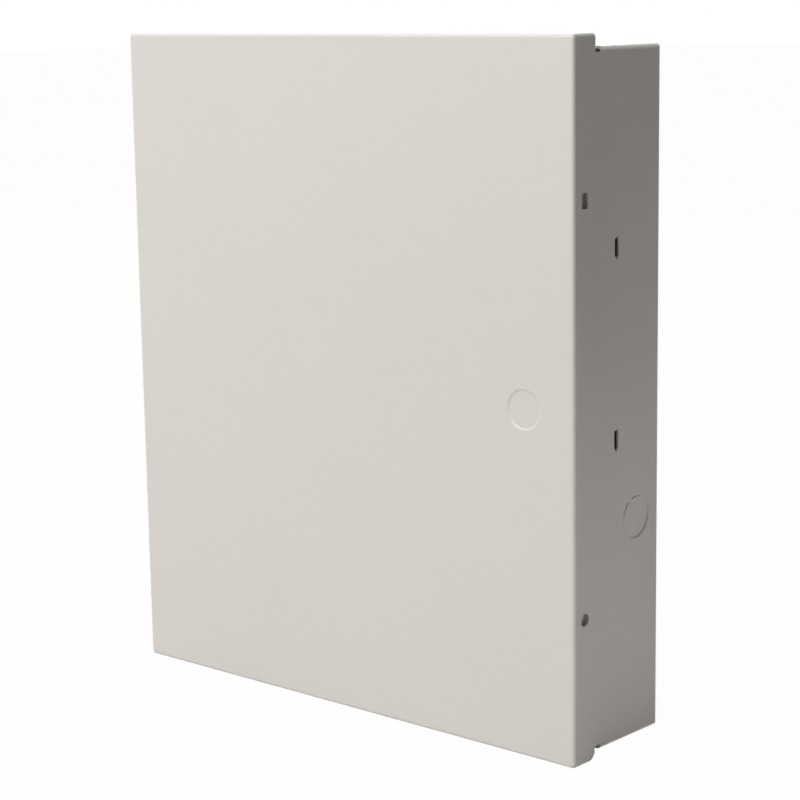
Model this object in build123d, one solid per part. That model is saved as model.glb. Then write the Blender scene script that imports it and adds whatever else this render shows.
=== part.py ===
from build123d import *
import os
from math import cos, radians, sin

# Alarm panel enclosure: a folded sheet-steel wall box with a hinged pan door,
# empty but for its own fittings.
# Millimetres. The origin is in the middle of the wall face: X to the right, Y into the wall, Z up.

# Directions
RIGHT = (1, 0, 0)
LEFT = (-1, 0, 0)
INTO_WALL = (0, 1, 0)
TO_FRONT = (0, -1, 0)
UP = (0, 0, 1)
DOWN = (0, 0, -1)

# Sheet and cutting
sheet = 1.2
bend_inside = 1.8
bend_outside = bend_inside + sheet
overrun = 2.0  # how far a cutting tool runs past the face that it cuts

# Box: back and four walls from one blank
box_width = 310.5
box_height = 359.3
box_depth = 76.2
lip_width = 10.0  # front lip of each side wall, which a lock's cam catches behind
tab_width = 14.0  # side wall tabs, lapped over the top and bottom walls and spot welded
tab_front_setback = 25.4
tab_rear_setback = 1.5

# Door: front panel and four flanges from one blank
door_flange = 17.0
door_bend = 2.0  # outside radius where the front turns into the flanges
door_corner = 2.4  # outside radius where two flanges meet
upper_clip = 1.0  # cut off the rear corners of the flanges
lower_clip = 3.9
side_clearance = 2.3
top_clearance = 5.3
bottom_clearance = 1.3
front_clearance = 0.6

# Openings in the right side, and the lock knockout in the door
fixing_height = 105.5  # slot above the middle, screw hole as far below it
fixing_setback = 8.7  # behind the door front
flange_slot_width = 5.0
flange_slot_height = 8.0
screw_hole_radius = 3.4
screw_pilot_radius = 1.75
screw_collar_radius = 2.9
screw_collar_length = 2.0
lock_inset = 31.7  # from the right edge of the door
lock_radius = 9.5
lock_shear = 0.5
lock_ease = 1.2  # how far the paint rounds over the edge of the recess

# Conduit knockouts: discs sheared part way through the sheet
knockout_radius = 11.1
knockout_shear = 0.5
knockout_ease = 0.2
knockout_setback = 20.0  # from the wall, in the side walls
knockout_drop = 62.0  # below the middle, in the side walls
knockout_inset = 77.25  # from the sides, in the top and bottom walls
rear_knockout_spread = 45.0
rear_knockout_rise = 51.65  # above the foot of the box
knockout_slit = 0.15  # all round each disc
pushed_tie_width = 3.0
pushed_tie_reach = 1.6
pushed_ease = 0.6  # rolled in round the hole of the right-hand disc
pushed_angle = 3.4  # degrees that the right-hand disc is pushed in
pushed_heading = -60.0  # degrees below the level line where that disc is pushed in furthest

# Lanced tongues in the right wall, bent in from their top ends
tongue_width = 3.4
tongue_length = 12.2
tongue_point = 2.4
tongue_slit = 0.15
tongue_angle = 50.0
tongue_tops = (85.5, -12.7)

# Wall fixing
wall_hole_radius = 3.25
wall_hole_inset_x = 28.25
wall_hole_inset_z = 27.25
keyhole_drop = 39.65  # below the top of the box
keyhole_head_radius = 5.5
keyhole_slot_radius = 2.75
keyhole_rise = 11.0

# Hinges on the left side
hinge_inset = 61.65  # from the top and the foot of the box to the middle of each hinge
hinge_length = 44.0
leaf_sheet = 1.2
leaf_width = 12.0
knuckle_gap = 0.3
swing_clearance = 0.5
pin_radius = 1.5
pin_fit = 0.06
pin_head_radius = 2.6
pin_head_height = 1.1
pin_tail = 1.6
pin_tail_chamfer = 0.5

# Control board posts, snapped into raised bosses of the back
post_spacing_x = 190.5
post_spacing_z = 139.7
post_inset = 50.0  # of the first posts from the left side
post_drop = 49.8  # of the upper posts from the top
boss_height = 4.0
boss_base_radius = 9.0
boss_top_radius = 6.0
boss_wall = 0.9
post_hole_radius = 2.4
post_neck_radius = 2.2
post_foot_radius = 4.4
post_foot_height = 1.2
post_radius = 3.1
post_height = 9.5
board_neck_radius = 1.85
board_thickness = 1.6
snap_radius = 2.7
snap_tip_radius = 1.3
snap_length = 2.6
snap_play = 0.1
snap_slit = 0.8

# Earth point on the back
earth_inset = 27.25  # from the left side
earth_rise = 117.65  # above the foot of the box
stud_radius = 2.5
stud_length = 17.0
stud_chamfer = 0.5
stud_foot_radius = 3.5
stud_foot_height = 0.8
thread_play = 0.05
washer_play = 0.15
flat_washer_radius = 5.0
flat_washer_height = 1.0
star_washer_radius = 5.0
star_root_radius = 4.0
star_washer_height = 0.6
star_tooth_width = 1.5
star_tooth_count = 10
nut_flats = 8.0
nut_height = 4.0

# Tamper switch on the right wall
tamper_drop = 44.65  # below the top of the box
tamper_inset = 16.0  # plunger axis from the wall
bracket_sheet = 1.2
bracket_bend = 1.2
bracket_foot = 20.0
bracket_reach = 26.0
bracket_height = 24.0
tip_gap = 0.3
plunger_radius = 2.5
plunger_fit = 0.06
plunger_showing = 8.0
plunger_length = 20.0
plunger_dome = 1.6
barrel_radius = 4.0
barrel_reach = 10.0
barrel_play = 0.1
housing_radius = 6.0
housing_length = 16.0
housing_edge = 0.8
housing_floor = 2.5
lock_nut_flats = 11.0
lock_nut_height = 3.0
spring_wire = 0.5
spring_radius = 1.85
spring_turns = 6
spring_seat = 0.05
terminal_width = 4.8
terminal_sheet = 0.8
terminal_length = 8.0
terminal_spacing = 6.0

# Worked-out faces
half_width = box_width / 2
half_height = box_height / 2
wall_inside = half_width - sheet
lapped_face = half_height - sheet  # outside of the top and bottom walls, under the tabs
door_front = -(box_depth + front_clearance + sheet)
door_inside = door_front + sheet
door_side = half_width + side_clearance + sheet
door_top = half_height + top_clearance + sheet
door_bottom = -(half_height + bottom_clearance + sheet)
door_width = 2 * door_side
door_height = door_top - door_bottom
door_middle = (door_top + door_bottom) / 2
flange_rear = door_front + door_flange
fixing_y = door_front + fixing_setback
knockout_spread = half_width - knockout_inset
rear_knockout_height = rear_knockout_rise - half_height
wall_hole_x = half_width - wall_hole_inset_x
wall_hole_z = half_height - wall_hole_inset_z
keyhole_height = half_height - keyhole_drop
hinge_spread = half_height - hinge_inset
boss_face = -(sheet + boss_height)
post_places = [
    (post_inset - half_width + column * post_spacing_x, half_height - post_drop - row * post_spacing_z)
    for row in (0, 1)
    for column in (0, 1)
]
earth_x = earth_inset - half_width
earth_z = earth_rise - half_height
knuckle_radius = pin_radius + pin_fit + leaf_sheet
knuckle_length = (hinge_length - 2 * knuckle_gap) / 3
knuckle_pitch = knuckle_length + knuckle_gap
hinge_room = knuckle_radius + swing_clearance  # from the axis to the nearest edge of the other leaf
hinge_x = -(half_width + knuckle_radius)  # the knuckles are rolled out of the leaf on the box wall
hinge_y = flange_rear + hinge_room
tamper_x = wall_inside - tamper_inset
tamper_z = half_height - tamper_drop
tip_y = door_inside + tip_gap
barrel_front = tip_y + plunger_showing
arm_front = barrel_front + barrel_reach
arm_rear = arm_front + bracket_sheet
housing_rear = arm_rear + housing_length
plunger_end = tip_y + plunger_length
bore_end = housing_rear - housing_floor


def rod(origin, direction, radius, length):
    """Round bar from a point along a direction."""
    return extrude(Plane(origin=origin, z_dir=direction) * Circle(radius), amount=length)


def tube(origin, direction, radius, bore, length):
    """Round bar with a bore right through it."""
    face = Circle(radius) - Circle(bore)
    return extrude(Plane(origin=origin, z_dir=direction) * face, amount=length)


def slab(low, high):
    """Straight-sided block between two corners."""
    size = [b - a for a, b in zip(low, high)]
    middle = [(a + b) / 2 for a, b in zip(low, high)]
    return Pos(*middle) * Box(*size)


def hex_nut(origin, direction, flats, bore, height):
    """Hexagon nut with a plain bore and its outer corners turned off."""
    plane = Plane(origin=origin, z_dir=direction)
    corner_radius = flats / 3 ** 0.5
    face = RegularPolygon(flats / 2, 6, major_radius=False) - Circle(bore)
    body = extrude(plane * face, amount=height)
    turned = plane * Cone(
        corner_radius + height / 2, flats / 2, height, align=(Align.CENTER, Align.CENTER, Align.MIN)
    )
    return body & turned


def side_plane(side, y, z):
    """Plane on the outer face of a side wall of the box, facing out, with its local Y up."""
    return Plane(origin=(side * half_width, y, z), x_dir=(0, side, 0), z_dir=(side, 0, 0))


def wall_section():
    """Back, top and bottom walls, cut across: local X is up and local Y is into the wall."""
    outside = Pos(0, -box_depth / 2) * Rectangle(2 * lapped_face, box_depth)
    outside = fillet(outside.vertices().group_by(Axis.Y)[-1], bend_outside)
    inside = Pos(0, -sheet - box_depth / 2) * Rectangle(2 * (lapped_face - sheet), box_depth)
    inside = fillet(inside.vertices().group_by(Axis.Y)[-1], bend_inside)
    return outside - inside


def lipped_section():
    """Back, side walls and front lips, cut across."""
    outside = RectangleRounded(box_width, box_depth, bend_outside)
    inside = RectangleRounded(box_width - 2 * sheet, box_depth - 2 * sheet, bend_inside)
    mouth = Pos(0, -box_depth / 2) * Rectangle(box_width - 2 * lip_width, 2 * bend_outside)
    return Pos(0, -box_depth / 2) * (outside - inside - mouth)


def folded_shell():
    """The folded and lapped sheet of the box before any hole is cut."""
    upright = Plane(origin=(0, 0, 0), x_dir=UP, z_dir=LEFT)
    channel = extrude(upright * wall_section(), amount=half_width - bend_outside, both=True)
    sides = extrude(lipped_section(), amount=half_height - bend_outside, both=True)
    ring = RectangleRounded(box_width, box_height, bend_outside)
    ring -= RectangleRounded(box_width - 2 * sheet, box_height - 2 * sheet, bend_inside)
    corners = GridLocations(box_width - tab_width, box_height - bend_outside, 2, 2)
    tab_faces = ring & (Sketch() + corners * Rectangle(tab_width, bend_outside))
    tab_depth = box_depth - tab_front_setback - tab_rear_setback
    tabs = extrude(Plane.XZ.offset(tab_rear_setback) * tab_faces, amount=tab_depth)
    outline = Pos(0, -box_depth / 2) * RectangleRounded(box_width, box_depth, bend_outside)
    tabs = tabs & extrude(outline, amount=half_height, both=True)
    return channel + sides + tabs


def eased_recess(plane, radius, depth, ease):
    """Round recess that opens out towards the face of a plane."""
    base = (Align.CENTER, Align.CENTER, Align.MIN)
    return plane.offset(-depth) * Cone(radius, radius + ease, depth, align=base)


def sheared_disc(plane, radius, shear, ease):
    """Knockout sheared part way: the recess outside and the pad that it raises inside."""
    recess = eased_recess(plane, radius, shear, ease)
    pad = extrude(plane.offset(-sheet) * Circle(radius - knockout_slit), amount=-shear)
    return recess, pad


def pushed_disc():
    """Right-hand conduit knockout, pushed in on one side and still held by its tie."""
    heading = radians(pushed_heading)
    middle = (half_width, -knockout_setback, -knockout_drop)
    plane = Plane(origin=middle, x_dir=(0, cos(heading), sin(heading)), z_dir=RIGHT)
    hole = extrude(plane * Circle(knockout_radius), amount=sheet + overrun, both=True)
    hole += eased_recess(plane, knockout_radius, pushed_ease, pushed_ease)
    disc = extrude(Circle(knockout_radius - knockout_slit), amount=-sheet)
    disc = disc.rotate(Axis((-knockout_radius, 0, 0), (0, 1, 0)), pushed_angle)
    tie = Pos(-knockout_radius, 0, -sheet / 2) * Box(2 * pushed_tie_reach, pushed_tie_width, sheet)
    return hole, plane * disc + plane * tie


def tongue_face(inset):
    """Outline of a lanced tongue, hanging from the local X axis, drawn in by an inset."""
    half = tongue_width / 2 - inset
    shoulder = inset + tongue_point - tongue_length
    tip = inset - tongue_length
    outline = Polyline((-half, 0), (half, 0), (half, shoulder), (0, tip), (-half, shoulder), close=True)
    return make_face(outline)


def tongue(top):
    """Slot of one tongue and the tongue itself, bent in about its top end."""
    plane = side_plane(1, -box_depth / 2, top)
    slot = extrude(plane * tongue_face(0), amount=sheet + overrun, both=True)
    blade = extrude(plane * tongue_face(tongue_slit), amount=-sheet)
    return slot, blade.rotate(Axis((half_width, 0, top), INTO_WALL), tongue_angle)


def keyhole():
    """Hanging hole: a round head with a narrower slot above it."""
    head = Circle(keyhole_head_radius)
    slot = Pos(0, keyhole_rise / 2) * Rectangle(2 * keyhole_slot_radius, keyhole_rise)
    crown = Pos(0, keyhole_rise) * Circle(keyhole_slot_radius)
    plane = Plane(origin=(0, 0, keyhole_height), x_dir=RIGHT, z_dir=TO_FRONT)
    return extrude(plane * (head + slot + crown), amount=sheet + overrun, both=True)


def boss(x, z):
    """Raised boss of the back for one board post: what it adds and what it cuts."""
    base = (Align.CENTER, Align.CENTER, Align.MIN)
    front = Plane(origin=(x, -sheet, z), z_dir=TO_FRONT)
    rear = Plane(origin=(x, 0, z), z_dir=TO_FRONT)
    hollow_base = boss_base_radius - boss_wall
    hollow_top = boss_top_radius - boss_wall
    raised = front * Cone(boss_base_radius, boss_top_radius, boss_height, align=base)
    hollow = rear * Cone(hollow_base, hollow_top, boss_height, align=base)
    hole = rod((x, 0, z), TO_FRONT, post_hole_radius, sheet + boss_height + overrun)
    return raised, hollow + hole


def make_back_box():
    """The whole box: folded shell with its knockouts, tongues, holes and bosses."""
    box = folded_shell()
    added = []
    cut = [keyhole()]
    walls = [side_plane(-1, -knockout_setback, -knockout_drop)]
    for side in (-1, 1):
        for facing in (UP, DOWN):
            place = (side * knockout_spread, -box_depth / 2, facing[2] * lapped_face)
            walls.append(Plane(origin=place, x_dir=RIGHT, z_dir=facing))
        place = (side * rear_knockout_spread, 0, rear_knockout_height)
        walls.append(Plane(origin=place, x_dir=RIGHT, z_dir=INTO_WALL))
    for plane in walls:
        recess, pad = sheared_disc(plane, knockout_radius, knockout_shear, knockout_ease)
        cut.append(recess)
        added.append(pad)
    for hole, blade in [pushed_disc()] + [tongue(top) for top in tongue_tops]:
        box -= hole
        added.append(blade)
    for x, z in post_places:
        raised, hollow = boss(x, z)
        added.append(raised)
        cut.append(hollow)
    for side in (-1, 1):
        for level in (-1, 1):
            place = (side * wall_hole_x, overrun, level * wall_hole_z)
            cut.append(rod(place, TO_FRONT, wall_hole_radius, sheet + 2 * overrun))
    collar_start = (wall_inside, fixing_y, -fixing_height)
    added.append(rod(collar_start, LEFT, screw_collar_radius, screw_collar_length))
    pilot_start = (half_width + overrun, fixing_y, -fixing_height)
    cut.append(rod(pilot_start, LEFT, screw_pilot_radius, sheet + screw_collar_length + 2 * overrun))
    for piece in added:
        box += piece
    for piece in cut:
        box -= piece
    return box


def rounded_block(width, height, corner, edge, rear, front):
    """Block with rounded corners whose front edge is rounded over."""
    face = Pos(0, door_middle) * RectangleRounded(width, height, corner)
    block = extrude(Plane.XZ.offset(-rear) * face, amount=rear - front)
    return fillet(block.faces().sort_by(Axis.Y)[0].edges(), edge)


def make_door():
    """The pan: front panel and four flanges, the lock knockout and the openings of the right flange."""
    outside = rounded_block(door_width, door_height, door_corner, door_bend, flange_rear, door_front)
    inside = rounded_block(
        door_width - 2 * sheet,
        door_height - 2 * sheet,
        door_corner - sheet,
        door_bend - sheet,
        flange_rear + overrun,
        door_inside,
    )
    pan = outside - inside
    for side in (-1, 1):
        for level, edge, clip in ((1, door_top, upper_clip), (-1, door_bottom, lower_clip)):
            away = Vector(side, 1, level).normalized()
            corner = Vector(side * door_side, flange_rear, edge) - away * (clip / 3 ** 0.5)
            face = Plane(origin=corner, z_dir=away) * Rectangle(door_flange, door_flange)
            pan -= extrude(face, amount=clip)
    lock = Plane(origin=(door_side - lock_inset, door_front, 0), x_dir=RIGHT, z_dir=TO_FRONT)
    recess, pad = sheared_disc(lock, lock_radius, lock_shear, lock_ease)
    pan = pan - recess + pad
    slot_face = Plane(origin=(door_side, fixing_y, fixing_height), x_dir=INTO_WALL, z_dir=RIGHT)
    slot = Rectangle(flange_slot_width, flange_slot_height)
    pan -= extrude(slot_face * slot, amount=sheet + overrun, both=True)
    hole_start = (door_side + overrun, fixing_y, -fixing_height)
    return pan - rod(hole_start, LEFT, screw_hole_radius, sheet + 2 * overrun)


def knuckle(z):
    """One rolled knuckle about the hinge axis, with its lower end at a height."""
    return tube((hinge_x, hinge_y, z), UP, knuckle_radius, pin_radius + pin_fit, knuckle_length)


def make_frame_leaf(middle):
    """Hinge leaf on the left wall of the box, with an upper and a lower knuckle."""
    bottom = middle - hinge_length / 2
    face = -half_width - leaf_sheet
    rear = hinge_y + hinge_room
    leaf = slab((face, rear, bottom), (-half_width, rear + leaf_width, bottom + hinge_length))
    for place in (0, 2):
        low = bottom + place * knuckle_pitch
        leaf += slab((face, hinge_y, low), (-half_width, rear, low + knuckle_length))
        leaf += knuckle(low)
    return leaf


def make_door_leaf(middle):
    """Hinge leaf on the left flange of the door, with the middle knuckle."""
    bottom = middle - hinge_length / 2
    face = -door_side - leaf_sheet
    front = flange_rear - leaf_width
    leaf = slab((face, front, bottom), (-door_side, flange_rear, bottom + hinge_length))
    low = bottom + knuckle_pitch
    leaf += slab((face, flange_rear, low), (-door_side, hinge_y, low + knuckle_length))
    leaf += knuckle(low)
    bore = rod((hinge_x, hinge_y, bottom), UP, pin_radius + pin_fit, hinge_length)
    return leaf - bore


def make_hinge_pin(middle):
    """Headed pin, dropped in from above."""
    top = middle + hinge_length / 2
    pin = rod((hinge_x, hinge_y, top), DOWN, pin_radius, hinge_length + pin_tail)
    pin = chamfer(pin.edges().group_by(Axis.Z)[0], pin_tail_chamfer)
    head = rod((hinge_x, hinge_y, top), UP, pin_head_radius, pin_head_height)
    return pin + fillet(head.edges().group_by(Axis.Z)[-1], pin_head_height / 2)


def make_board_post(x, z):
    """Nylon post: split snap below its foot, and a split snap that holds the board above it."""
    snap_start = sheet + snap_play
    board_top = post_height + board_thickness + snap_play
    outline = Polyline(
        (0, -(snap_start + snap_length)),
        (snap_tip_radius, -(snap_start + snap_length)),
        (snap_radius, -snap_start),
        (post_neck_radius, -snap_start),
        (post_neck_radius, 0),
        (post_foot_radius, 0),
        (post_foot_radius, post_foot_height),
        (post_radius, post_foot_height),
        (post_radius, post_height),
        (board_neck_radius, post_height),
        (board_neck_radius, board_top),
        (snap_radius, board_top),
        (snap_tip_radius, board_top + snap_length),
        (0, board_top + snap_length),
        close=True,
    )
    turned = revolve(Plane.XZ * make_face(outline), Axis.Z)
    span = 2 * snap_radius + overrun
    for low, high in (
        (-(snap_start + snap_length + overrun), -post_neck_radius / 2),
        (post_height + snap_play, board_top + snap_length + overrun),
    ):
        turned -= slab((-snap_slit / 2, -span / 2, low), (snap_slit / 2, span / 2, high))
    return Plane(origin=(x, boss_face, z), x_dir=RIGHT, z_dir=TO_FRONT) * turned


def make_earth_point():
    """Stud, washers and nut, stacked from the back towards the front."""
    foot = -sheet
    seat = foot - stud_foot_height
    star = seat - flat_washer_height
    nut = star - star_washer_height
    shank = rod((earth_x, foot, earth_z), TO_FRONT, stud_radius, stud_length)
    shank = chamfer(shank.edges().group_by(Axis.Y)[0], stud_chamfer)
    base = rod((earth_x, foot, earth_z), TO_FRONT, stud_foot_radius, stud_foot_height)
    washer_bore = stud_radius + washer_play
    nut_bore = stud_radius + thread_play
    tooth_reach = star_washer_radius - washer_bore
    teeth = PolarLocations((star_washer_radius + washer_bore) / 2, star_tooth_count) * Rectangle(
        tooth_reach, star_tooth_width
    )
    star_face = (Circle(star_root_radius) + teeth) - Circle(washer_bore)
    star_plane = Plane(origin=(earth_x, star, earth_z), z_dir=TO_FRONT)
    return {
        "earth_stud": shank + base,
        "earth_flat_washer": tube(
            (earth_x, seat, earth_z), TO_FRONT, flat_washer_radius, washer_bore, flat_washer_height
        ),
        "earth_star_washer": extrude(star_plane * star_face, amount=star_washer_height),
        "earth_nut": hex_nut((earth_x, nut, earth_z), TO_FRONT, nut_flats, nut_bore, nut_height),
    }


def tamper_point(y):
    """Point of the switch's axis at a depth."""
    return (tamper_x, y, tamper_z)


def make_tamper_bracket():
    """Folded angle on the right wall, with a hole for the switch in its arm."""
    outside = Rectangle(bracket_reach, bracket_foot)
    fold = outside.vertices().sort_by(Axis.X)[-2:].sort_by(Axis.Y)[0]
    outside = fillet(fold, bracket_bend + bracket_sheet)
    inside = Pos(-bracket_sheet, bracket_sheet) * Rectangle(bracket_reach, bracket_foot)
    fold = inside.vertices().sort_by(Axis.X)[-2:].sort_by(Axis.Y)[0]
    inside = fillet(fold, bracket_bend)
    place = Pos(wall_inside - bracket_reach / 2, arm_front + bracket_foot / 2, tamper_z)
    angle = place * extrude(outside - inside, amount=bracket_height / 2, both=True)
    hole_start = tamper_point(arm_front - overrun)
    hole_length = bracket_sheet + 2 * overrun
    return angle - rod(hole_start, INTO_WALL, barrel_radius + barrel_play, hole_length)


def make_tamper_spring():
    """Coil spring between the plunger and the floor of the switch's bore."""
    slack = spring_seat + spring_wire / 2
    height = bore_end - plunger_end - 2 * slack
    coil = Helix(height / spring_turns, height, spring_radius)
    start = Plane(origin=coil @ 0, z_dir=coil % 0) * Circle(spring_wire / 2)
    wire = sweep(start, path=coil, is_frenet=True)
    return Plane(origin=tamper_point(plunger_end + slack), z_dir=INTO_WALL) * wire


def make_tamper_switch():
    """Bracket, switch, lock nut, plunger, spring and terminals."""
    bore_radius = plunger_radius + plunger_fit
    barrel = rod(tamper_point(barrel_front), INTO_WALL, barrel_radius, arm_rear - barrel_front)
    housing = rod(tamper_point(arm_rear), INTO_WALL, housing_radius, housing_length)
    housing = fillet(housing.edges().group_by(Axis.Y)[-1], housing_edge)
    bore = rod(tamper_point(barrel_front), INTO_WALL, bore_radius, bore_end - barrel_front)
    plunger = rod(tamper_point(tip_y), INTO_WALL, plunger_radius, plunger_length)
    thread_radius = barrel_radius + thread_play
    blade = Box(terminal_width, terminal_length, terminal_sheet)
    blade_middle = Pos(*tamper_point(housing_rear + terminal_length / 2))
    return {
        "tamper_bracket": make_tamper_bracket(),
        "tamper_switch_body": barrel + housing - bore,
        "tamper_lock_nut": hex_nut(
            tamper_point(arm_front), TO_FRONT, lock_nut_flats, thread_radius, lock_nut_height
        ),
        "tamper_plunger": fillet(plunger.edges().group_by(Axis.Y)[0], plunger_dome),
        "tamper_spring": make_tamper_spring(),
        "tamper_terminal_upper": blade_middle * Pos(0, 0, terminal_spacing / 2) * blade,
        "tamper_terminal_lower": blade_middle * Pos(0, 0, -terminal_spacing / 2) * blade,
    }


def make_nodes():
    """Every piece of the enclosure by its name."""
    nodes = {"back_box": make_back_box(), "door": make_door()}
    for name, level in (("upper", 1), ("lower", -1)):
        middle = level * hinge_spread
        nodes["hinge_frame_leaf_" + name] = make_frame_leaf(middle)
        nodes["hinge_door_leaf_" + name] = make_door_leaf(middle)
        nodes["hinge_pin_" + name] = make_hinge_pin(middle)
    for number, (x, z) in enumerate(post_places, start=1):
        nodes["board_standoff_" + str(number)] = make_board_post(x, z)
    nodes.update(make_earth_point())
    nodes.update(make_tamper_switch())
    return nodes


os.makedirs("parts", exist_ok=True)
for node_name, node in make_nodes().items():
    export_step(node, os.path.join("parts", node_name + ".step"))
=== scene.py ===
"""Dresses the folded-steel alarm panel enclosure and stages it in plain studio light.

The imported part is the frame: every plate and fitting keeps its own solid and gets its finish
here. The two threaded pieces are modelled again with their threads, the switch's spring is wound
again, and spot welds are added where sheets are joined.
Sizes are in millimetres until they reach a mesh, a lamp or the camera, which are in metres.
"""

import logging
import math
from collections.abc import Iterable
from dataclasses import dataclass
from enum import Enum

import bmesh
import bpy
from mathutils import Matrix, Vector

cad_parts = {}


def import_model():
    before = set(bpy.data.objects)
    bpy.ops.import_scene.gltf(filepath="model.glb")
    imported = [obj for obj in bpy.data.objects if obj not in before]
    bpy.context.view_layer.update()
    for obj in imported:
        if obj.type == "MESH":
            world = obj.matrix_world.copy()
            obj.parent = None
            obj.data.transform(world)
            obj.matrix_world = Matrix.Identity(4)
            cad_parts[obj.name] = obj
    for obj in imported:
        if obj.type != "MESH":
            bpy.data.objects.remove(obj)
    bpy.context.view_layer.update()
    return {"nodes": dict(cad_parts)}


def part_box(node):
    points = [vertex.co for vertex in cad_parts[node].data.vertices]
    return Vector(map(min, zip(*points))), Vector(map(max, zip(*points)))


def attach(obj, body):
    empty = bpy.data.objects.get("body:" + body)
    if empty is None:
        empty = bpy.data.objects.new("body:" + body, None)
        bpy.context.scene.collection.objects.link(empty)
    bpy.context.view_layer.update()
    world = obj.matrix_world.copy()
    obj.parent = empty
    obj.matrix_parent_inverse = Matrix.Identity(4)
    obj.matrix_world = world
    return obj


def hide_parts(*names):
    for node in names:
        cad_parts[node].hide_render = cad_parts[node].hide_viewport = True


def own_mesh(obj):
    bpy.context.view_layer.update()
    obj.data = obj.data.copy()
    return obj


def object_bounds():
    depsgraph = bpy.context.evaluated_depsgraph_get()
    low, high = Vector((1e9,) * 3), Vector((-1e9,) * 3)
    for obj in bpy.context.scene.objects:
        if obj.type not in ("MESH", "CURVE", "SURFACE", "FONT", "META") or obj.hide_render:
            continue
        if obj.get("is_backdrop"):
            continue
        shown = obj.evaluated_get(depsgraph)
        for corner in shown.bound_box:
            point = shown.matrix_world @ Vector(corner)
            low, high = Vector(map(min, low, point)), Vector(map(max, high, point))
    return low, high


log = logging.getLogger("enclosure")

MM = 0.001

Nodes = dict[str, bpy.types.Object]
Rim = list[bmesh.types.BMEdge]
Profile = list[bmesh.types.BMVert | bmesh.types.BMEdge]
Outline = Iterable[tuple[float, float]]

LEFT = Vector((-1, 0, 0))
TO_FRONT = Vector((0, -1, 0))
INTO_WALL = Vector((0, 1, 0))
UP = Vector((0, 0, 1))
DOWN = Vector((0, 0, -1))

# How finely new pieces are modelled, and the angle past which an edge shows as sharp.
ROUND_STEPS = 48
WIRE_STEPS = 12
MERGE_MM = 0.002
SHARP_ANGLE = math.radians(32)

# A thread starts this many turns below its near end and is then cut to length.
SPARE_TURNS = 2

# What the mesh operators take for a round bevel, for the material of the faces beside it and
# for a hole of any shape.
ROUND_PROFILE = 0.5
SAME_MATERIAL = -1
ANY_SIDES = 0

# The noise behind the clouds and the relief of each finish.
CLOUD_DETAIL = 3.0
CLOUD_ROUGHNESS = 0.55
CLOUD_LOW, CLOUD_HIGH = 0.3, 0.7
GRAIN_DETAIL = 1.5
BUMP_STRENGTH = 1.0

# The white of the surroundings, and the strength at which it shows as white.
WHITE = "#FFFFFF"
WHITE_STRENGTH = 1.0

# The curve of sRGB: a straight foot up to a knee, and a power above it.
SRGB_KNEE = 0.04045
SRGB_FOOT = 12.92
SRGB_LIFT = 0.055
SRGB_POWER = 2.4


class Body(Enum):
    """The bodies that new pieces ride on."""

    ENCLOSURE = "enclosure"
    DOOR = "door"


class Joint(Enum):
    """The joints that a piece could give way to; no piece here is tied to one."""

    PRESS = "tamper_press"


class Slot(Enum):
    """The record's finishes, named here but given to no piece."""

    PAINT = "painted_steel"
    ZINC = "zinc_plated_steel"
    PHENOLIC = "black_phenolic"


class MixSocket(Enum):
    """Numbers of the sockets of a colour mix, which share their names with other kinds."""

    FACTOR = 0
    FIRST = 6
    SECOND = 7
    RESULT = 2


def linear(colour: str) -> tuple[float, float, float, float]:
    """Turns an sRGB hex colour to linear light.

    Args:
        colour: Six hex digits after a number sign.

    Returns:
        Red, green, blue and a full alpha.
    """
    channels = [int(colour[start : start + 2], 16) / 255 for start in (1, 3, 5)]
    light = [
        c / SRGB_FOOT if c <= SRGB_KNEE else ((c + SRGB_LIFT) / (1 + SRGB_LIFT)) ** SRGB_POWER
        for c in channels
    ]
    return (*light, 1.0)


def add_node(
    tree: bpy.types.NodeTree,
    kind: str,
    inputs: dict[str | int, object] | None = None,
    **settings: object,
) -> bpy.types.Node:
    """Adds one node with its settings, values and links.

    Args:
        tree: The tree that gets the node.
        kind: The node's type name.
        inputs: For each input, by name or number, a value or the socket to link from.
        settings: The node's own properties.

    Returns:
        The new node.
    """
    node = tree.nodes.new(kind)
    for name, value in settings.items():
        setattr(node, name, value)
    for name, value in (inputs or {}).items():
        if isinstance(value, bpy.types.NodeSocket):
            tree.links.new(value, node.inputs[name])
        else:
            node.inputs[name].default_value = value
    return node


def per_metre(size_mm: float) -> float:
    """Scale of a pattern whose features are that many millimetres across."""
    return 1 / (size_mm * MM)


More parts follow.
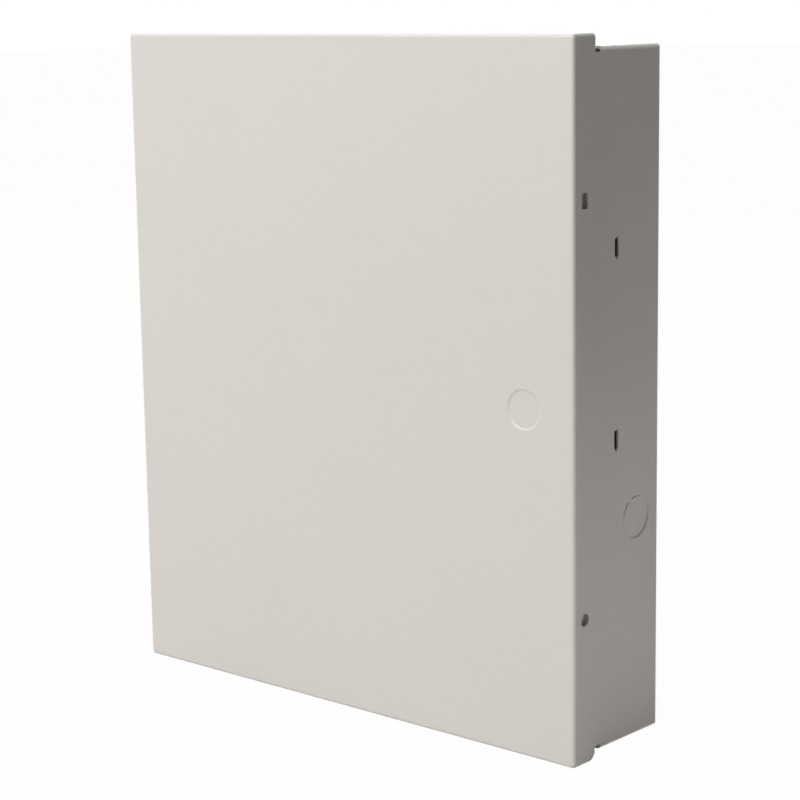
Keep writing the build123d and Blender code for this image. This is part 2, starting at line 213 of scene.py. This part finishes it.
@dataclass(frozen=True)
class Finish:
    """A surface whose colour and gloss drift a little and whose relief has one or more sizes.

    Attributes:
        name: The material's name.
        colour: Its colour.
        drift: The colour that its clouds lean to.
        cloud_mm: Size of the clouds.
        relief_mm: Size and height of each layer of relief.
        roughness: Lowest and highest roughness.
        ior: Index of refraction of its surface.
        metallic: 1 for bare metal, 0 for the rest.
        scatter: Share of the light that goes under the surface.
        scatter_mm: How far it goes there.
    """

    name: str
    colour: str
    drift: str
    cloud_mm: float
    relief_mm: tuple[tuple[float, float], ...]
    roughness: tuple[float, float]
    ior: float = 1.5
    metallic: float = 0.0
    scatter: float = 0.0
    scatter_mm: float = 1.0

    def material(self) -> bpy.types.Material:
        """Makes the material, or finds it where it is made already.

        Returns:
            The material.
        """
        material = bpy.data.materials.get(self.name)
        if material is None:
            material = bpy.data.materials.new(self.name)
            material.use_nodes = True
            tree = material.node_tree
            shader = tree.nodes["Principled BSDF"]
            shader.inputs["IOR"].default_value = self.ior
            shader.inputs["Metallic"].default_value = self.metallic
            shader.inputs["Subsurface Weight"].default_value = self.scatter
            shader.inputs["Subsurface Scale"].default_value = self.scatter_mm * MM
            place = add_node(tree, "ShaderNodeTexCoord").outputs["Object"]
            self.colour_and_gloss(tree, shader, place)
            self.relief(tree, shader, place)
        return material

    def colour_and_gloss(
        self, tree: bpy.types.NodeTree, shader: bpy.types.Node, place: bpy.types.NodeSocket
    ) -> None:
        """Lets the colour and the gloss drift in soft clouds.

        Args:
            tree: The material's tree.
            shader: The surface.
            place: Object coordinates.
        """
        clouds = add_node(
            tree,
            "ShaderNodeTexNoise",
            {
                "Vector": place,
                "Scale": per_metre(self.cloud_mm),
                "Detail": CLOUD_DETAIL,
                "Roughness": CLOUD_ROUGHNESS,
            },
        ).outputs["Fac"]
        colour = add_node(
            tree,
            "ShaderNodeMix",
            {
                MixSocket.FACTOR.value: clouds,
                MixSocket.FIRST.value: linear(self.colour),
                MixSocket.SECOND.value: linear(self.drift),
            },
            data_type="RGBA",
        ).outputs[MixSocket.RESULT.value]
        low, high = self.roughness
        gloss = add_node(
            tree,
            "ShaderNodeMapRange",
            {
                "Value": clouds,
                "From Min": CLOUD_LOW,
                "From Max": CLOUD_HIGH,
                "To Min": low,
                "To Max": high,
            },
        ).outputs["Result"]
        tree.links.new(colour, shader.inputs["Base Color"])
        tree.links.new(gloss, shader.inputs["Roughness"])

    def relief(
        self, tree: bpy.types.NodeTree, shader: bpy.types.Node, place: bpy.types.NodeSocket
    ) -> None:
        """Lays the layers of relief over each other, the coarsest first.

        Args:
            tree: The material's tree.
            shader: The surface.
            place: Object coordinates.
        """
        normal = None
        for size_mm, height_mm in self.relief_mm:
            grain = add_node(
                tree,
                "ShaderNodeTexNoise",
                {"Vector": place, "Scale": per_metre(size_mm), "Detail": GRAIN_DETAIL},
            ).outputs["Fac"]
            inputs = {"Height": grain, "Distance": height_mm * MM, "Strength": BUMP_STRENGTH}
            if normal:
                inputs["Normal"] = normal
            normal = add_node(tree, "ShaderNodeBump", inputs).outputs["Normal"]
        tree.links.new(normal, shader.inputs["Normal"])


# Polyester powder baked on sheet steel: an even satin film with a faint orange peel and a fine
# tooth, which is drawn coarser than the real one so that it shows.
POWDER_COAT = Finish(
    name="powder_coated_steel",
    colour="#D7D3CE",
    drift="#D3CFC9",
    cloud_mm=120.0,
    relief_mm=((3.2, 0.024), (0.9, 0.006)),
    roughness=(0.44, 0.52),
    ior=1.52,
)

# Bright zinc plate on turned and stamped steel: a cool grey metal, a little cloudy, with a
# tumbled tooth.
ZINC_PLATE = Finish(
    name="bright_zinc_plate",
    colour="#B4B7B9",
    drift="#C9CBC8",
    cloud_mm=3.0,
    relief_mm=((0.35, 0.002),),
    roughness=(0.24, 0.40),
    metallic=1.0,
)

# Moulded natural nylon: a milky, slightly warm plastic that lets light in at its thin edges.
NATURAL_NYLON = Finish(
    name="moulded_natural_nylon",
    colour="#E8E3D3",
    drift="#E2DCC9",
    cloud_mm=6.0,
    relief_mm=((0.5, 0.003),),
    roughness=(0.42, 0.52),
    ior=1.53,
    scatter=0.2,
    scatter_mm=1.2,
)

# Moulded black phenolic: dense and dark, half matt from the grain of its mould.
BLACK_PHENOLIC = Finish(
    name="moulded_black_phenolic",
    colour="#1C1B1A",
    drift="#262423",
    cloud_mm=5.0,
    relief_mm=((0.4, 0.004),),
    roughness=(0.38, 0.52),
    ior=1.62,
)

# Stamped brass strip: yellow metal, dulled in patches by handling.
STAMPED_BRASS = Finish(
    name="stamped_brass",
    colour="#C8A557",
    drift="#B08C48",
    cloud_mm=2.5,
    relief_mm=((0.3, 0.002),),
    roughness=(0.22, 0.38),
    metallic=1.0,
)


def give(nodes: Nodes, finish: Finish, *names: str) -> None:
    """Puts a finish on solids of the frame.

    Args:
        nodes: The frame's solids by name.
        finish: What they are finished in.
        names: Which of them get it.
    """
    for name in names:
        for slot in nodes[name].material_slots:
            slot.material = finish.material()
        log.info("%s is finished in %s", name, finish.name)


def draw_profile(bm: bmesh.types.BMesh, outline: Outline) -> Profile:
    """Draws an open outline beside the local Z axis.

    Args:
        bm: The mesh that gets it.
        outline: Radius and height of each point, in millimetres.

    Returns:
        Its vertices and edges.
    """
    points = [bm.verts.new((radius * MM, 0, height * MM)) for radius, height in outline]
    return points + [bm.edges.new(pair) for pair in zip(points, points[1:])]


def sweep(
    bm: bmesh.types.BMesh,
    profile: Profile,
    turns: int = 1,
    pitch_mm: float = 0.0,
    close: bool = False,
) -> None:
    """Spins a profile about local Z.

    Args:
        bm: The mesh that holds it.
        profile: Its vertices and edges.
        turns: How many times it goes round.
        pitch_mm: How far it climbs in each turn.
        close: Whether its end is merged with its start.
    """
    bmesh.ops.spin(
        bm,
        geom=profile,
        cent=(0, 0, 0),
        axis=UP,
        dvec=UP * (pitch_mm * MM / ROUND_STEPS),
        angle=math.tau * turns,
        steps=ROUND_STEPS * turns,
        use_merge=close,
        use_duplicate=False,
    )


def spin_outline(bm: bmesh.types.BMesh, outline: Outline) -> list[bmesh.types.BMVert]:
    """Turns an outline that starts and ends on the local Z axis into a closed round piece.

    Args:
        bm: The mesh that gets the piece.
        outline: Radius and height of each point, in millimetres.

    Returns:
        The vertices of the piece.
    """
    known = set(bm.verts)
    sweep(bm, draw_profile(bm, outline), close=True)
    turned = [vert for vert in bm.verts if vert not in known]
    bmesh.ops.remove_doubles(bm, verts=turned, dist=MERGE_MM * MM)
    return [vert for vert in bm.verts if vert not in known]


def add_ring(bm: bmesh.types.BMesh, radius_mm: float, height_mm: float) -> Rim:
    """Adds an open circle about local Z.

    Args:
        bm: The mesh that gets it.
        radius_mm: Its radius.
        height_mm: Its height.

    Returns:
        Its edges.
    """
    made = bmesh.ops.create_circle(
        bm,
        segments=ROUND_STEPS,
        radius=radius_mm * MM,
        matrix=Matrix.Translation(UP * (height_mm * MM)),
    )
    return list(dict.fromkeys(edge for vert in made["verts"] for edge in vert.link_edges))


def run_ring(bm: bmesh.types.BMesh, ring: Rim, rise_mm: float) -> Rim:
    """Extrudes an open circle along local Z.

    Args:
        bm: The mesh that holds it.
        ring: Its edges.
        rise_mm: How far it runs.

    Returns:
        The edges of its far end.
    """
    made = bmesh.ops.extrude_edge_only(bm, edges=ring)["geom"]
    verts = [part for part in made if isinstance(part, bmesh.types.BMVert)]
    bmesh.ops.translate(bm, vec=UP * (rise_mm * MM), verts=verts)
    return [part for part in made if isinstance(part, bmesh.types.BMEdge) and part.is_boundary]


def close_rim(bm: bmesh.types.BMesh, rim: Rim) -> None:
    """Closes an open rim with a flat face."""
    bmesh.ops.holes_fill(bm, edges=rim, sides=ANY_SIDES)


def aim(
    bm: bmesh.types.BMesh, verts: list[bmesh.types.BMVert], place: Vector, facing: Vector
) -> None:
    """Turns vertices from local Z to a direction and moves them to their place.

    Args:
        bm: The mesh that holds them.
        verts: The vertices to move.
        place: Where the local origin goes, in metres.
        facing: Where local Z points.
    """
    turn = UP.rotation_difference(facing).to_matrix().to_4x4()
    bmesh.ops.transform(bm, matrix=Matrix.Translation(place) @ turn, verts=verts)


def add_object(name: str, data: bpy.types.ID) -> bpy.types.Object:
    """Puts a mesh, a lamp or a camera in the scene.

    Args:
        name: The object's name.
        data: What it holds.

    Returns:
        The object.
    """
    made = bpy.data.objects.new(name, data)
    bpy.context.scene.collection.objects.link(made)
    return made


def add_mesh(name: str, bm: bmesh.types.BMesh) -> bpy.types.Object:
    """Puts a finished mesh in the scene and frees its bmesh.

    Args:
        name: The object's name.
        bm: Its mesh.

    Returns:
        The object.
    """
    mesh = bpy.data.meshes.new(name)
    bm.to_mesh(mesh)
    bm.free()
    return add_object(name, mesh)


def make_piece(
    name: str,
    bm: bmesh.types.BMesh,
    finish: Finish,
    body: Body,
    stands_for: tuple[str, ...] = (),
) -> bpy.types.Object:
    """Turns a finished mesh into a piece that rides on a body.

    Args:
        name: The piece's name.
        bm: Its mesh, in its place in the part's frame.
        finish: What it is finished in.
        body: The body that it moves with.
        stands_for: Solids of the frame that it replaces.

    Returns:
        The piece.
    """
    bmesh.ops.remove_doubles(bm, verts=bm.verts, dist=MERGE_MM * MM)
    bmesh.ops.recalc_face_normals(bm, faces=bm.faces)
    piece = add_mesh(name, bm)
    piece.data.shade_smooth()
    piece.data.set_sharp_from_angle(angle=SHARP_ANGLE)
    piece.data.materials.append(finish.material())
    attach(piece, body.value)
    if stands_for:
        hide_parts(*stands_for)
    log.info("%s has %d faces and rides on %s", name, len(piece.data.polygons), body.value)
    return piece


@dataclass(frozen=True)
class SpotWeld:
    """The mark of a welding tip on sheet: a shallow dish inside a low rim.

    Attributes:
        radius_mm: Radius of the mark.
        rim_mm: Height of its rim over the sheet.
        dish_mm: Height of its dish over the sheet.
        root_mm: How far it reaches into the sheet.
        rim_share: Share of the radius at which the rim is highest.
        dish_share: Share of the radius that the dish takes.
    """

    radius_mm: float = 2.7
    rim_mm: float = 0.16
    dish_mm: float = 0.04
    root_mm: float = 0.2
    rim_share: float = 0.8
    dish_share: float = 0.55

    def add(self, bm: bmesh.types.BMesh, place: Vector, facing: Vector) -> None:
        """Adds one mark.

        Args:
            bm: The mesh that gets it.
            place: Its middle on the sheet, in metres.
            facing: Away from the sheet.
        """
        outline = (
            (0, self.dish_mm),
            (self.radius_mm * self.dish_share, self.dish_mm),
            (self.radius_mm * self.rim_share, self.rim_mm),
            (self.radius_mm, 0),
            (self.radius_mm, -self.root_mm),
            (0, -self.root_mm),
        )
        aim(bm, spin_outline(bm, outline), place, facing)


@dataclass(frozen=True)
class LeafWelds:
    """The row of spot welds that holds a hinge leaf to the sheet on its right.

    Attributes:
        weld: One weld.
        sheet_mm: Thickness of the leaf.
        inset_mm: From the leaf's free edge to the row.
        spread_mm: From one weld to the next.
        steps: The welds, counted from the middle of the leaf.
    """

    weld: SpotWeld = SpotWeld()
    sheet_mm: float = 1.2
    inset_mm: float = 5.5
    spread_mm: float = 15.0
    steps: tuple[int, ...] = (-1, 0, 1)

    def add(self, bm: bmesh.types.BMesh, leaf: str, sheet_x: float, inward: Vector) -> None:
        """Adds the row.

        Args:
            bm: The mesh that gets it.
            leaf: The leaf's solid.
            sheet_x: Where the outside of the sheet is, in metres.
            inward: From the leaf's free edge to its knuckles.
        """
        low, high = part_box(leaf)
        middle = (low + high) / 2
        edge = high if inward == TO_FRONT else low
        row = Vector((sheet_x, edge.y, middle.z))
        row += LEFT * (self.sheet_mm * MM) + inward * (self.inset_mm * MM)
        for step in self.steps:
            self.weld.add(bm, row + UP * (step * self.spread_mm * MM), LEFT)


@dataclass(frozen=True)
class Thread:
    """A single-start outside thread about local Z.

    Attributes:
        crest_mm: Radius over the crests.
        root_mm: Radius at the roots.
        pitch_mm: From crest to crest.
        flat_share: Share of the pitch that is flat at each crest and root.
    """

    crest_mm: float
    root_mm: float
    pitch_mm: float
    flat_share: float = 0.15

    def cut(self, bm: bmesh.types.BMesh, length_mm: float) -> tuple[Rim, Rim]:
        """Winds the thread from local height 0 to its length, open at both ends.

        Args:
            bm: The empty mesh that gets it.
            length_mm: How long it is.

        Returns:
            The rim at height 0 and the rim at the far end.
        """
        flank_share = 1 / 2 - self.flat_share
        shares = (0, flank_share, flank_share + self.flat_share, 1 - self.flat_share, 1)
        radii = (self.root_mm, self.crest_mm, self.crest_mm, self.root_mm, self.root_mm)
        heights = [(share - SPARE_TURNS) * self.pitch_mm for share in shares]
        turns = math.ceil(length_mm / self.pitch_mm) + SPARE_TURNS
        sweep(bm, draw_profile(bm, zip(radii, heights)), turns, self.pitch_mm)
        bmesh.ops.remove_doubles(bm, verts=bm.verts, dist=MERGE_MM * MM)
        for height, outward in ((0, DOWN), (length_mm * MM, UP)):
            bmesh.ops.bisect_plane(
                bm,
                geom=bm.verts[:] + bm.edges[:] + bm.faces[:],
                plane_co=UP * height,
                plane_no=outward,
                clear_outer=True,
            )
        rims = [edge for edge in bm.edges if edge.is_boundary]
        middle = length_mm * MM / 2
        near = [edge for edge in rims if edge.verts[0].co.z < middle]
        far = [edge for edge in rims if edge.verts[0].co.z > middle]
        return near, far


@dataclass(frozen=True)
class Coil:
    """A compression spring about local Z, cut off square at both ends.

    Attributes:
        radius_mm: Radius to the middle of the wire.
        wire_mm: Thickness of the wire.
        turns: How many times it goes round.
    """

    radius_mm: float
    wire_mm: float
    turns: int

    def wind(self, bm: bmesh.types.BMesh, length_mm: float) -> None:
        """Winds the wire from local height 0 to its length.

        Args:
            bm: The empty mesh that gets it.
            length_mm: How long the spring is, over its wire.
        """
        upright = Matrix.Rotation(math.radians(90), 4, "X")
        start = Matrix.Translation(Vector((self.radius_mm, 0, self.wire_mm / 2)) * MM)
        bmesh.ops.create_circle(
            bm, segments=WIRE_STEPS, radius=self.wire_mm * MM / 2, matrix=start @ upright
        )
        pitch_mm = (length_mm - self.wire_mm) / self.turns
        sweep(bm, bm.verts[:] + bm.edges[:], self.turns, pitch_mm)
        close_rim(bm, [edge for edge in bm.edges if edge.is_boundary])


@dataclass
class Shell:
    """The folded box, the hinge leaves on its left wall and its spot welds.

    Attributes:
        nodes: The frame's solids by name.
        leaves: The hinge leaves on the box.
        leaf_welds: The welds of each leaf.
        weld: A weld of the lapped corners.
        tab_weld_inset_mm: From the sides of the box to the welds of its corners.
        tab_weld_depths_mm: From the wall face to each of them.
    """

    nodes: Nodes
    leaves: tuple[str, ...] = ("hinge_frame_leaf_upper", "hinge_frame_leaf_lower")
    leaf_welds: LeafWelds = LeafWelds()
    weld: SpotWeld = SpotWeld()
    tab_weld_inset_mm: float = 8.0
    tab_weld_depths_mm: tuple[float, ...] = (17.0, 44.0)

    def build(self) -> None:
        """Adds the spot welds of the lapped corners and of the hinge leaves."""
        bm = bmesh.new()
        low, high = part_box("back_box")
        inset = self.tab_weld_inset_mm * MM
        for x in (low.x + inset, high.x - inset):
            for depth_mm in self.tab_weld_depths_mm:
                self.weld.add(bm, Vector((x, -depth_mm * MM, high.z)), UP)
                self.weld.add(bm, Vector((x, -depth_mm * MM, low.z)), DOWN)
        for leaf in self.leaves:
            self.leaf_welds.add(bm, leaf, low.x, TO_FRONT)
        make_piece("box_spot_welds", bm, POWDER_COAT, Body.ENCLOSURE)

    def dress(self) -> None:
        """Powder coats the box and its hinge leaves."""
        give(self.nodes, POWDER_COAT, "back_box", *self.leaves)


@dataclass
class Door:
    """The pan door, the hinge leaves on its left flange and their spot welds.

    Attributes:
        nodes: The frame's solids by name.
        leaves: The hinge leaves on the door.
        leaf_welds: The welds of each leaf.
    """

    nodes: Nodes
    leaves: tuple[str, ...] = ("hinge_door_leaf_upper", "hinge_door_leaf_lower")
    leaf_welds: LeafWelds = LeafWelds()

    def build(self) -> None:
        """Adds the spot welds of the hinge leaves."""
        bm = bmesh.new()
        low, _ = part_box("door")
        for leaf in self.leaves:
            self.leaf_welds.add(bm, leaf, low.x, INTO_WALL)
        make_piece("door_spot_welds", bm, POWDER_COAT, Body.DOOR)

    def dress(self) -> None:
        """Powder coats the door and its hinge leaves, and zinc plates the pins that carry it."""
        give(self.nodes, POWDER_COAT, "door", *self.leaves)
        give(self.nodes, ZINC_PLATE, "hinge_pin_upper", "hinge_pin_lower")


@dataclass
class BoardPosts:
    """The nylon posts that a control board snaps on.

    Attributes:
        nodes: The frame's solids by name.
        count: How many posts there are.
    """

    nodes: Nodes
    count: int = 4

    def dress(self) -> None:
        """Gives each post its nylon."""
        posts = (f"board_standoff_{number}" for number in range(1, self.count + 1))
        give(self.nodes, NATURAL_NYLON, *posts)


@dataclass
class EarthPoint:
    """The threaded earth stud with its washers and nut.

    Attributes:
        nodes: The frame's solids by name.
        thread: The stud's thread.
        foot_mm: Thickness of the stud's foot.
        lead_mm: Length of the chamfer at its tip.
    """

    nodes: Nodes
    thread: Thread = Thread(crest_mm=2.5, root_mm=2.05, pitch_mm=0.8)
    foot_mm: float = 0.8
    lead_mm: float = 0.5

    def build(self) -> None:
        """Models the stud with its foot, its thread and a chamfered tip."""
        low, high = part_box("earth_stud")
        middle = (low + high) / 2
        length_mm = (high.y - low.y) / MM
        foot_radius_mm = (high.x - low.x) / 2 / MM
        bm = bmesh.new()
        near, far = self.thread.cut(bm, length_mm - self.lead_mm - self.foot_mm)
        tip = run_ring(bm, far, self.lead_mm)
        tip_verts = list(dict.fromkeys(vert for edge in tip for vert in edge.verts))
        narrow = self.thread.root_mm / self.thread.crest_mm
        bmesh.ops.scale(bm, vec=(narrow, narrow, 1), verts=tip_verts)
        close_rim(bm, tip)
        foot = add_ring(bm, foot_radius_mm, 0)
        bmesh.ops.bridge_loops(bm, edges=near + foot)
        close_rim(bm, run_ring(bm, foot, -self.foot_mm))
        base = Vector((middle.x, high.y - self.foot_mm * MM, middle.z))
        aim(bm, bm.verts[:], base, TO_FRONT)
        make_piece(
            "earth_stud_threaded", bm, ZINC_PLATE, Body.ENCLOSURE, ("earth_stud",)
        )

    def dress(self) -> None:
        """Zinc plates what is stacked on the stud."""
        give(self.nodes, ZINC_PLATE, "earth_flat_washer", "earth_star_washer", "earth_nut")


@dataclass
class TamperSwitch:
    """The plunger switch that senses the door, on its bracket.

    Attributes:
        nodes: The frame's solids by name.
        thread: The barrel's thread.
        weld: A weld of the bracket.
        coil: The spring behind the plunger.
        press_mm: How far the plunger goes in; not used.
        bore_mm: Radius of the barrel's bore.
        bore_depth_mm: Depth of the bore.
        housing_mm: Length of the housing behind the barrel.
        edge_mm: Width of the rounding at the housing's rear edge.
        edge_segments: Steps of that rounding.
        bracket_sheet_mm: Thickness of the bracket.
        weld_spread_mm: From the middle of the bracket to each weld.
    """

    nodes: Nodes
    thread: Thread = Thread(crest_mm=4.0, root_mm=3.55, pitch_mm=0.9)
    weld: SpotWeld = SpotWeld(radius_mm=2.2)
    coil: Coil = Coil(radius_mm=1.85, wire_mm=0.5, turns=6)
    press_mm: float = 4.0
    bore_mm: float = 2.56
    bore_depth_mm: float = 24.7
    housing_mm: float = 16.0
    edge_mm: float = 0.8
    edge_segments: int = 3
    bracket_sheet_mm: float = 1.2
    weld_spread_mm: float = 6.5

    def build(self) -> None:
        """Models the switch body, its spring and the bracket's spot welds."""
        self.build_body()
        self.build_spring()
        self.build_welds()

    def build_body(self) -> None:
        """Models the housing with its threaded and bored barrel."""
        low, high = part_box("tamper_switch_body")
        middle = (low + high) / 2
        barrel_mm = (high.y - low.y) / MM - self.housing_mm
        case_radius_mm = (high.x - low.x) / 2 / MM
        bm = bmesh.new()
        mouth, shoulder = self.thread.cut(bm, barrel_mm)
        bore = add_ring(bm, self.bore_mm, 0)
        bmesh.ops.bridge_loops(bm, edges=mouth + bore)
        close_rim(bm, run_ring(bm, bore, self.bore_depth_mm))
        case = add_ring(bm, case_radius_mm, barrel_mm)
        bmesh.ops.bridge_loops(bm, edges=shoulder + case)
        rear = run_ring(bm, case, self.housing_mm)
        close_rim(bm, rear)
        bmesh.ops.bevel(
            bm,
            geom=rear,
            offset=self.edge_mm * MM,
            segments=self.edge_segments,
            profile=ROUND_PROFILE,
            affect="EDGES",
            material=SAME_MATERIAL,
        )
        aim(bm, bm.verts[:], Vector((middle.x, low.y, middle.z)), INTO_WALL)
        make_piece(
            "tamper_body_threaded",
            bm,
            BLACK_PHENOLIC,
            Body.ENCLOSURE,
            ("tamper_switch_body",),
        )

    def build_spring(self) -> None:
        """Winds the spring behind the plunger."""
        low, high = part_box("tamper_spring")
        middle = (low + high) / 2
        length_mm = (high.y - low.y) / MM
        bm = bmesh.new()
        self.coil.wind(bm, length_mm)
        aim(bm, bm.verts[:], Vector((middle.x, low.y, middle.z)), INTO_WALL)
        spring = make_piece(
            "tamper_spring_coil", bm, ZINC_PLATE, Body.ENCLOSURE, ("tamper_spring",)
        )
        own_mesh(spring)

    def build_welds(self) -> None:
        """Adds the spot welds that hold the bracket's foot to the wall."""
        bm = bmesh.new()
        low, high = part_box("tamper_bracket")
        middle = (low + high) / 2
        foot = Vector((high.x - self.bracket_sheet_mm * MM, middle.y, middle.z))
        for step in (-1, 1):
            self.weld.add(bm, foot + UP * (step * self.weld_spread_mm * MM), LEFT)
        make_piece("bracket_spot_welds", bm, ZINC_PLATE, Body.ENCLOSURE)

    def dress(self) -> None:
        """Finishes the bracket, nut, plunger and terminals."""
        give(self.nodes, ZINC_PLATE, "tamper_bracket", "tamper_lock_nut")
        give(self.nodes, NATURAL_NYLON, "tamper_plunger")
        give(self.nodes, STAMPED_BRASS, "tamper_terminal_upper", "tamper_terminal_lower")


@dataclass(frozen=True)
class Softbox:
    """A square studio lamp.

    Attributes:
        name: Its name.
        place_mm: Where it stands.
        aim_mm: The point that it faces.
        side_mm: Length of its sides.
        watts: Its power.
        spread_deg: How wide its beam opens.
        tint: Colour of its light.
    """

    name: str
    place_mm: tuple[float, float, float]
    aim_mm: tuple[float, float, float]
    side_mm: float
    watts: float
    spread_deg: float = 180.0
    tint: str = WHITE

    def set_up(self) -> None:
        """Puts the lamp in its place."""
        lamp = bpy.data.lights.new(self.name, "AREA")
        lamp.shape = "SQUARE"
        lamp.size = self.side_mm * MM
        lamp.energy = self.watts
        lamp.spread = math.radians(self.spread_deg)
        lamp.color = linear(self.tint)[:3]
        stand = add_object(self.name, lamp)
        place = Vector(self.place_mm) * MM
        view = Vector(self.aim_mm) * MM - place
        stand.location = place
        stand.rotation_euler = view.to_track_quat("-Z", "Y").to_euler()


# The point that the large lamps face, and the tint of the small cards.
MIDDLE_MM = (0, -40, 0)
CARD_TINT = "#FFF5F5"


@dataclass
class Studio:
    """A pale floor in white surroundings, with its lamps and the camera.

    Softboxes stand in front, above and behind, and two small cards low on the right.

    Attributes:
        floor_side_mm: Length of the floor's sides.
        floor_colour: Colour of the floor.
        floor_roughness: How matt the floor is.
        floor_specular: How much the floor mirrors.
        floor_white_share: Share of white in the floor as it is seen.
        ambient: Strength of the surroundings as a light.
        lamps: The softboxes and cards.
        camera_mm: Where the camera stands.
        yaw_deg: How far its view turns left from facing the wall.
        pitch_deg: How far it looks down.
        roll_deg: How far it leans.
        focal_mm: Its focal length.
        sensor_mm: Width of its sensor.
    """

    floor_side_mm: float = 24000.0
    floor_colour: str = "#C2C1BE"
    floor_roughness: float = 0.9
    floor_specular: float = 0.0
    floor_white_share: float = 0.98
    ambient: float = 0.002
    lamps: tuple[Softbox, ...] = (
        Softbox("key_softbox", (-700, -2500, 1500), MIDDLE_MM, 1500.0, 67.5),
        Softbox("top_softbox", (-100, -300, 2500), MIDDLE_MM, 1500.0, 40.0),
        Softbox("rear_softbox", (-1500, 1600, 900), MIDDLE_MM, 1200.0, 22.0),
        Softbox("far_card", (900, -250, -150), (150, -40, -150), 250.0, 0.034, 30.0, CARD_TINT),
        Softbox("near_card", (400, -150, -170), (150, -40, -140), 160.0, 0.045, 180.0, CARD_TINT),
    )
    camera_mm: tuple[float, float, float] = (793.9, -920.0, 206.9)
    yaw_deg: float = 41.68
    pitch_deg: float = 10.61
    roll_deg: float = -0.89
    focal_mm: float = 98.1
    sensor_mm: float = 36.0

    def build(self) -> None:
        """Builds the floor, the surroundings, the lamps and the camera."""
        bpy.context.scene.view_settings.view_transform = "Standard"
        self.lay_floor()
        self.surround()
        for lamp in self.lamps:
            lamp.set_up()
        self.stand_camera()

    def seen_directly(self, tree: bpy.types.NodeTree) -> bpy.types.NodeSocket:
        """Tells rays that show the surroundings from rays that light the object.

        Args:
            tree: The tree that asks.

        Returns:
            A socket that is 1 for camera, glossy and transmission rays.
        """
        path = add_node(tree, "ShaderNodeLightPath")
        seen = path.outputs["Is Camera Ray"]
        for name in ("Is Glossy Ray", "Is Transmission Ray"):
            either = {0: seen, 1: path.outputs[name]}
            seen = add_node(tree, "ShaderNodeMath", either, operation="MAXIMUM").outputs[0]
        return seen

    def lay_floor(self) -> None:
        """Lays the floor under the object, nearly white and with a faint shadow."""
        lowest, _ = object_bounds()
        bm = bmesh.new()
        bmesh.ops.create_grid(bm, x_segments=1, y_segments=1, size=self.floor_side_mm * MM / 2)
        bmesh.ops.translate(bm, vec=UP * lowest.z, verts=bm.verts)
        floor = add_mesh("floor", bm)
        floor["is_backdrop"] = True
        material = bpy.data.materials.new("pale_floor")
        material.use_nodes = True
        tree = material.node_tree
        paint = tree.nodes["Principled BSDF"]
        paint.inputs["Base Color"].default_value = linear(self.floor_colour)
        paint.inputs["Roughness"].default_value = self.floor_roughness
        paint.inputs["Specular IOR Level"].default_value = self.floor_specular
        white = add_node(
            tree, "ShaderNodeEmission", {"Color": linear(WHITE), "Strength": WHITE_STRENGTH}
        )
        share = add_node(
            tree,
            "ShaderNodeMath",
            {0: self.seen_directly(tree), 1: self.floor_white_share},
            operation="MULTIPLY",
        )
        both = add_node(
            tree,
            "ShaderNodeMixShader",
            {0: share.outputs[0], 1: paint.outputs[0], 2: white.outputs[0]},
        )
        tree.links.new(both.outputs[0], tree.nodes["Material Output"].inputs["Surface"])
        floor.data.materials.append(material)

    def surround(self) -> None:
        """Makes the surroundings white to look at and dim as a light."""
        world = bpy.data.worlds.new("surroundings")
        bpy.context.scene.world = world
        world.use_nodes = True
        tree = world.node_tree
        strength = add_node(
            tree,
            "ShaderNodeMapRange",
            {
                "Value": self.seen_directly(tree),
                "To Min": self.ambient,
                "To Max": WHITE_STRENGTH,
            },
        )
        background = tree.nodes["Background"]
        background.inputs["Color"].default_value = linear(WHITE)
        tree.links.new(strength.outputs["Result"], background.inputs["Strength"])

    def stand_camera(self) -> None:
        """Stands the camera where the photograph was taken from."""
        yaw, pitch, roll = (
            math.radians(angle) for angle in (self.yaw_deg, self.pitch_deg, self.roll_deg)
        )
        level = Vector((math.cos(yaw), math.sin(yaw), 0))
        ahead = Vector((-math.sin(yaw), math.cos(yaw), 0))
        forward = ahead * math.cos(pitch) + DOWN * math.sin(pitch)
        above = level.cross(forward)
        across = level * math.cos(roll) + above * math.sin(roll)
        upright = across.cross(forward)
        lens = bpy.data.cameras.new("camera")
        lens.lens = self.focal_mm
        lens.sensor_width = self.sensor_mm
        camera = add_object("camera", lens)
        turn = Matrix((across, upright, -forward)).transposed().to_4x4()
        camera.matrix_world = Matrix.Translation(Vector(self.camera_mm) * MM) @ turn
        bpy.context.scene.camera = camera


def main() -> None:
    """Loads the frame, dresses each sub-assembly and sets up the studio."""
    logging.basicConfig(level=logging.INFO, format="%(name)s: %(message)s")
    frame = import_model()
    nodes = frame["nodes"]
    for assembly in (Shell(nodes), Door(nodes), EarthPoint(nodes), TamperSwitch(nodes)):
        assembly.build()
        assembly.dress()
    BoardPosts(nodes).dress()
    Studio().build()


if __name__ == "__main__":
    main()
